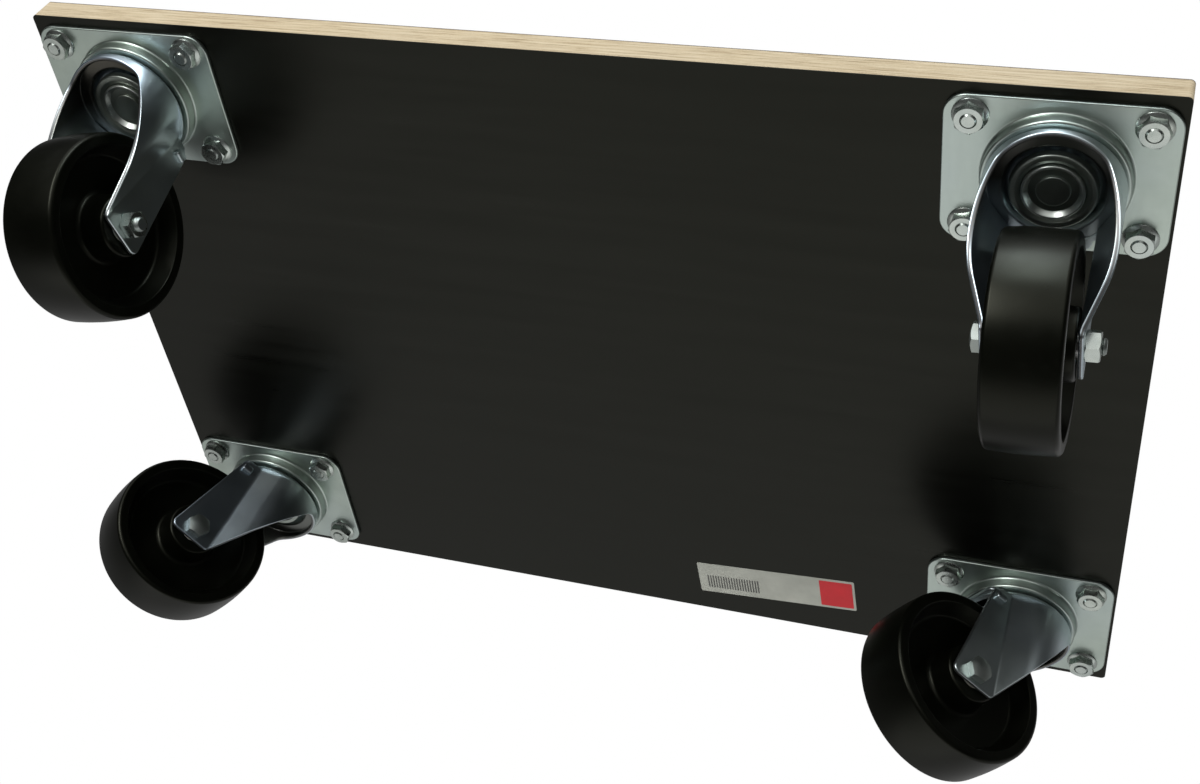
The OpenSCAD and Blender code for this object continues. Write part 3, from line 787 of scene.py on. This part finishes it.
def paint_crown_shade(bm):
    """Painted shade inside the front of the crown, a value the fork's material reads."""
    layer = bm.verts.layers.float.new("painted_crown_shade")
    full, none = CROWN_SHADE_X
    for v in bm.verts:
        inside = v.co.z < CROWN_Z - CROWN_SHADE_DEPTH and v.co.xy.length < CROWN_R - CROWN_SHADE_DEPTH
        v[layer] = min(1.0, max(0.0, (none - v.co.x) / (none - full))) if inside else 0.0


def fork(name):
    """Bent fork: legs, crown, flange and ears in one piece, its sheared edge in a second slot."""
    bm = bmesh.new()
    legs(bm)
    crown(bm)
    rear_flange(bm)
    paint_crown_shade(bm)
    pressing = finish_mesh(name + "_fork_pressing", bm, caster_matrix(name), MATERIALS["fork"])
    pressing.data.materials.append(MATERIALS["cut"])
    return pressing


def hex_body(bm, low, high, hole, place=Matrix.Identity(4), cut_high=False, dome=0.0):
    """A hexagon along Z with chamfered corners below, and above where cut_high says so. It is
    open round a shank by hole, and dome raises its low face towards the middle."""
    face_r = HEX_R * HEX_FACE
    slope = math.tan(math.radians(30))
    flat = HEX_R * math.cos(math.radians(30))
    angles = [2 * math.pi * k / HEX_STEPS for k in range(HEX_STEPS)]

    def side_ring(z, direction):
        pts = []
        for a in angles:
            r = flat / math.cos((a % (math.pi / 3)) - math.pi / 6)
            shift = max(0.0, r - face_r) * slope * direction
            pts.append(Vector((r * math.cos(a), r * math.sin(a), z + shift)))
        return pts

    rings = [round_ring(angles, hole, low)]
    if dome:
        rings += [round_ring(angles, face_r * t, low + dome * t * t) for t in HEX_DOME_AT]
    rings += [round_ring(angles, face_r, low + dome), side_ring(low + dome, 1)]
    rings.append(side_ring(high, -1 if cut_high else 0))
    if cut_high:
        rings.append(round_ring(angles, face_r, high))
    rings.append(round_ring(angles, hole, high))
    skin(bm, [[place @ p for p in ring] for ring in rings])


def thread(low, high, r):
    """Section of a threaded stretch: one ridge each pitch."""
    out = []
    z = low
    while z < high - THREAD_PITCH * 0.5:
        out += [(r - THREAD_DEPTH, z), (r, z + THREAD_PITCH * THREAD_CREST)]
        z += THREAD_PITCH
    return out


def axle_bolt(name):
    """Hexagon bolt through both legs, its threaded end standing out of the nut."""
    outer = LEG_OUTER_Y
    tip = outer + AXLE_NUT + AXLE_TIP
    bm = bmesh.new()
    hex_body(bm, -outer - AXLE_HEAD, -outer, CLOSED, dome=AXLE_HEAD_DOME)
    section = [(0, -outer - 0.5), (AXLE_R, -outer - 0.5), (AXLE_R, outer + 2)]
    section += thread(outer + 2, tip - 1.2, AXLE_R)
    section += [(AXLE_R - 0.1, tip - AXLE_CHAMFER), (AXLE_R - AXLE_CHAMFER, tip), (0, tip)]
    lathe(bm, section, 48)
    return finish_mesh(name + "_axle", bm, axle_matrix(name), MATERIALS["axle"], CRISP_ANGLE)


def axle_nut(name):
    """Hexagon nut against the far leg."""
    bm = bmesh.new()
    hex_body(bm, LEG_OUTER_Y, LEG_OUTER_Y + AXLE_NUT, AXLE_R + 0.02, cut_high=True)
    return finish_mesh(name + "_locknut", bm, axle_matrix(name), MATERIALS["fasteners"],
                       CRISP_ANGLE)


def bolt_places():
    """Matrix of each deck bolt, at the deck's underside, from the places of the CAD's nuts."""
    points = [v.co.xy.copy() for v in frame["nodes"]["deck_nuts"].data.vertices]
    spots = apart(points, NUT_SPACING)
    centres = []
    for spot in spots:
        group = [p for p in points if (p - spot).length < NUT_REACH]
        low = Vector((min(p.x for p in group), min(p.y for p in group)))
        high = Vector((max(p.x for p in group), max(p.y for p in group)))
        centres.append((low + high) / 2)
    centres = apart(centres, CENTRE_SPACING)
    return [Matrix.Translation((c.x / MM, c.y / MM, DECK_Z)) for c in centres]


def apart(points, distance):
    """The points, less those within a distance of an earlier one that was kept."""
    kept = []
    for p in points:
        if not any((p - q).length < distance for q in kept):
            kept.append(p)
    return kept


def deck_nuts():
    """Flanged hexagon nuts under the plates."""
    bm = bmesh.new()
    flange = [(NUT_BORE, -SHEET), (NUT_FLANGE_R, -SHEET), (NUT_FLANGE_R, -SHEET - 0.5),
              (NUT_FLANGE_R - 0.3, -SHEET - 0.85), (6.4, -SHEET - 1.9), (NUT_BORE, -SHEET - 1.9)]
    for k, place in enumerate(bolt_places()):
        turned = place @ Matrix.Rotation(NUT_TURN * k, 4, "Z")
        lathe(bm, flange, 48, turned)
        hex_body(bm, -SHEET - NUT_HEIGHT, -SHEET - NUT_SUNK, NUT_BORE, turned)
    return finish_mesh("deck_flange_nuts", bm, Matrix.Identity(4), MATERIALS["fasteners"],
                       CRISP_ANGLE)


def deck_bolts():
    """Countersunk bolts flush in the deck's top, with a hexagon socket and threaded ends."""
    bm = bmesh.new()
    top, tip = DECK_TOP - DECK_Z - BOLT_SUNK, -SHEET - BOLT_TIP
    section = [(0, tip), (3.0, tip), (3.75, tip + 0.8)]
    section += thread(tip + 0.9, -SHEET - 1.5, BOLT_R)
    section += [(BOLT_R, -SHEET), (BOLT_R, top - BOLT_HEAD), (BOLT_HEAD_R, top - 0.35),
                (BOLT_HEAD_R, top), (3.0, top), (SOCKET_R, top - 0.2),
                (SOCKET_R, top - SOCKET_DEPTH), (0, top - 2.9)]
    for place in bolt_places():
        lathe(bm, section, 36, place)
    return finish_mesh("deck_countersunk_bolts", bm, Matrix.Identity(4), MATERIALS["fasteners"],
                       CRISP_ANGLE)


def wheel_side():
    """Half of the wheel's section in (radius, width), from the bore to the tread's middle."""
    w, hub = WHEEL_HALF_W, (HUB_R, HUB_HALF_W)
    web, rim = (HUB_R + 1.2, 3.6), (38.2, 6.5)
    out = [(HUB_BORE, HUB_HALF_W - 0.5)]
    out += fillet((HUB_BORE, HUB_HALF_W), hub, (HUB_R + 0.9, 5.0), 1.6, 5)
    out += fillet(hub, web, (38.0, 6.5), 3.0, 6)
    out += fillet(web, rim, (42.8, w), 3.2, 6)
    out += fillet(rim, (43.0, w), (47.0, w), 0.9, 5)
    out += arc(WHEEL_R - TREAD_DROP - SHOULDER_R, w - SHOULDER_R, SHOULDER_R, 90, 4, 8)
    for k in range(1, TREAD_STEPS + 1):
        z = (w - SHOULDER_R) * (1 - k / TREAD_STEPS)
        out.append((WHEEL_R - TREAD_DROP * (z / (w - SHOULDER_R)) ** 2, z))
    return out


def wheel(name):
    """Moulded wheel: deep dished sides, a long hub and rounded shoulders."""
    side = wheel_side()
    section = side + [(r, -z) for r, z in reversed(side[:-1])]
    bm = bmesh.new()
    lathe(bm, section, 128)
    return finish_mesh(name + "_wheel_moulding", bm, axle_matrix(name), MATERIALS["wheel"])


def label():
    """Vinyl label with a plain red panel and a block of equal plain bars."""
    low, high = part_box("label")
    centre = (low + high) / 2
    place = Matrix.Translation((centre.x / MM, centre.y / MM, DECK_Z)) \
        @ Matrix.Rotation(math.radians(LABEL_TURN), 4, "Z")
    thick = (high.z - low.z) / MM
    print_low, print_high = -thick, -thick * 0.75
    bm = bmesh.new()
    slab(bm, rounded_rect(*LABEL_SIZE, 1.0, 4), -thick * 0.8, -0.002, 0.05, place)
    base = finish_mesh("label_sheet", bm, Matrix.Identity(4), MATERIALS["label"])
    bm = bmesh.new()
    panel = place @ Matrix.Translation((PANEL_X, 0, 0))
    slab(bm, rounded_rect(*PANEL_SIZE, 0.6, 3), print_low, print_high, 0.02, panel)
    red = finish_mesh("label_panel", bm, Matrix.Identity(4), MATERIALS["red"])
    bm = bmesh.new()
    bar, (first_x, y) = rounded_rect(BAR_PITCH * 0.5, BAR_LENGTH, 0.1, 2), BARS_AT
    for k in range(BARS):
        spot = place @ Matrix.Translation((first_x + k * BAR_PITCH, y, 0))
        slab(bm, bar, print_low, print_high, 0.01, spot)
    bars = finish_mesh("label_bars", bm, Matrix.Identity(4), MATERIALS["grey_print"])
    return base, red, bars


# ---------------------------------------------------------------- stage, lights, camera
def level_by(tree, value, span, levels):
    """A smooth change from one level to another over a span of a value."""
    made = tree.nodes.new("ShaderNodeMapRange")
    made.interpolation_type = "SMOOTHSTEP"
    for key, number in zip(("From Min", "From Max", "To Min", "To Max"), (*span, *levels)):
        made.inputs[key].default_value = number
    tree.links.new(value, made.inputs["Value"])
    return made.outputs["Result"]


def combine(tree, kind, a, b):
    """A Math node on two values."""
    made = tree.nodes.new("ShaderNodeMath")
    made.operation = kind
    tree.links.new(a, made.inputs[0])
    tree.links.new(b, made.inputs[1])
    return made.outputs["Value"]


def blend_shaders(tree, case_a, case_b, usual, other):
    """The usual shader, or the other one where either case holds."""
    mixer = tree.nodes.new("ShaderNodeMixShader")
    tree.links.new(combine(tree, "MAXIMUM", case_a, case_b), mixer.inputs["Fac"])
    tree.links.new(usual, mixer.inputs[1])
    tree.links.new(other, mixer.inputs[2])
    return mixer.outputs["Shader"]


def on_stage(centre):
    """A pale floor seen only from above, so a camera below it looks at the white world."""
    bm = bmesh.new()
    corners = [bm.verts.new((centre.x + x * FLOOR_HALF, centre.y + y * FLOOR_HALF, FLOOR_Z))
               for x, y in ((-1, -1), (1, -1), (1, 1), (-1, 1))]
    bm.faces.new(corners)
    mesh = bpy.data.meshes.new("floor")
    bm.to_mesh(mesh)
    bm.free()
    floor = bpy.data.objects.new("floor", mesh)
    bpy.context.scene.collection.objects.link(floor)
    material = bpy.data.materials.new("pale_floor")
    material.use_nodes = True
    tree = material.node_tree
    shader = tree.nodes["Principled BSDF"]
    shader.inputs["Base Color"].default_value = (0.86, 0.86, 0.85, 1)
    shader.inputs["Roughness"].default_value = 0.9
    shader.inputs["Specular IOR Level"].default_value = 0.1
    clear = tree.nodes.new("ShaderNodeBsdfTransparent")
    path = tree.nodes.new("ShaderNodeLightPath")
    side = tree.nodes.new("ShaderNodeNewGeometry")
    usual = blend_shaders(tree, path.outputs["Is Glossy Ray"], path.outputs["Is Transmission Ray"],
                          shader.outputs["BSDF"], clear.outputs["BSDF"])
    seen = blend_shaders(tree, path.outputs["Is Shadow Ray"], side.outputs["Backfacing"],
                         usual, clear.outputs["BSDF"])
    tree.links.new(seen, tree.nodes["Material Output"].inputs["Surface"])
    mesh.materials.append(material)


def world():
    """White to the camera, an even light, and a studio with a pale back wall to gloss."""
    made = bpy.data.worlds.new("studio")
    bpy.context.scene.world = made
    made.use_nodes = True
    tree = made.node_tree
    background = tree.nodes["Background"]
    background.inputs["Color"].default_value = (1, 1, 1, 1)
    path = tree.nodes.new("ShaderNodeLightPath")
    way = tree.nodes.new("ShaderNodeTexCoord")
    split = tree.nodes.new("ShaderNodeSeparateXYZ")
    tree.links.new(way.outputs["Generated"], split.inputs["Vector"])
    wall, foot, left, ahead, rise, aside, right = (
        level_by(tree, split.outputs[axis], span, levels) for axis, span, levels in ROOM.values())
    front = combine(tree, "MULTIPLY", combine(tree, "MULTIPLY", ahead, rise),
                    combine(tree, "MULTIPLY", aside, right))
    back = combine(tree, "MULTIPLY", combine(tree, "MULTIPLY", wall, foot), left)
    room = combine(tree, "ADD", back, front)
    lit = tree.nodes.new("ShaderNodeMix")
    lit.inputs["A"].default_value = AMBIENT
    tree.links.new(path.outputs["Is Glossy Ray"], lit.inputs["Factor"])
    tree.links.new(room, lit.inputs["B"])
    clear = combine(tree, "MAXIMUM", path.outputs["Is Camera Ray"],
                    path.outputs["Is Transmission Ray"])
    shown = tree.nodes.new("ShaderNodeMix")
    shown.inputs["B"].default_value = 1.0
    tree.links.new(clear, shown.inputs["Factor"])
    tree.links.new(lit.outputs["Result"], shown.inputs["A"])
    tree.links.new(shown.outputs["Result"], background.inputs["Strength"])


def softbox(name, centre, turn, rise, distance, width, height, level, colour=(1, 1, 1)):
    """A rectangular lamp that shines at the object from a bearing and a height in degrees."""
    data = bpy.data.lights.new(name, "AREA")
    data.shape = "RECTANGLE"
    data.size = width
    data.size_y = height
    data.energy = level * math.pi * width * height
    data.color = colour
    lamp = bpy.data.objects.new(name, data)
    bpy.context.scene.collection.objects.link(lamp)
    turn, rise = math.radians(turn), math.radians(rise)
    way = Vector((math.cos(rise) * math.cos(turn), math.cos(rise) * math.sin(turn), math.sin(rise)))
    lamp.location = centre + way * distance
    lamp.rotation_mode = "QUATERNION"
    lamp.rotation_quaternion = way.to_track_quat("Z", "Y")


def camera():
    """The photograph's viewpoint: low in front, looking up at the deck's underside."""
    data = bpy.data.cameras.new("camera")
    data.lens, data.sensor_width = CAMERA_LENS, 36.0
    data.shift_x, data.shift_y = CAMERA_SHIFT
    data.clip_start, data.clip_end = 0.01, 50.0
    eye = bpy.data.objects.new("camera", data)
    bpy.context.scene.collection.objects.link(eye)
    eye.location = CAMERA_PLACE
    eye.rotation_euler = [math.radians(a) for a in CAMERA_TURN]
    bpy.context.scene.camera = eye


# ---------------------------------------------------------------- assembly
def show(piece, body, node):
    """One call for how a piece moves and the CAD node it stands for, which it hides."""
    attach(piece, body)
    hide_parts(node)


def dress_node(node, material):
    """Gives a CAD node that stays in view its material."""
    data = frame["nodes"][node].data
    data.materials.clear()
    data.materials.append(MATERIALS[material])


dress_node("deck_core", "plywood")
dress_node("deck_bottom_film", "bottom_film")
dress_node("deck_top_film", "top_film")
show(deck_nuts(), "deck", "deck_nuts")
show(deck_bolts(), "deck", "deck_bolts")
sheet, *prints = label()
show(sheet, "deck", "label")
for piece in prints:
    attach(piece, "deck")

for caster in CASTERS:
    swivel, roller = caster + "_swivel", caster + "_roller"
    show(top_plate(caster), "deck", caster + "_top_plate")
    show(kingpin(caster), "deck", caster + "_kingpin")
    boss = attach(kingpin_boss(caster), "deck")
    show(lower_race(caster), "deck", caster + "_lower_race")
    show(fork(caster), swivel, caster + "_fork")
    show(axle_bolt(caster), swivel, caster + "_axle_bolt")
    show(axle_nut(caster), swivel, caster + "_axle_nut")
    show(wheel(caster), roller, caster + "_wheel")
    # The lower balls take the darker steel that paints shade under the crown
    for part, material in (("upper_balls", "steel"), ("lower_balls", "painted_shade_steel"),
                           ("axle_sleeve", "steel"), ("wheel_bush", "nylon")):
        dress_node(f"{caster}_{part}", material)

middle = (CAD_BOX[0] + CAD_BOX[1]) / 2
on_stage(middle)
world()
camera()
for name, lamp in LAMPS.items():
    softbox(name, middle, **lamp)
bpy.context.scene.view_settings.view_transform = "Standard"
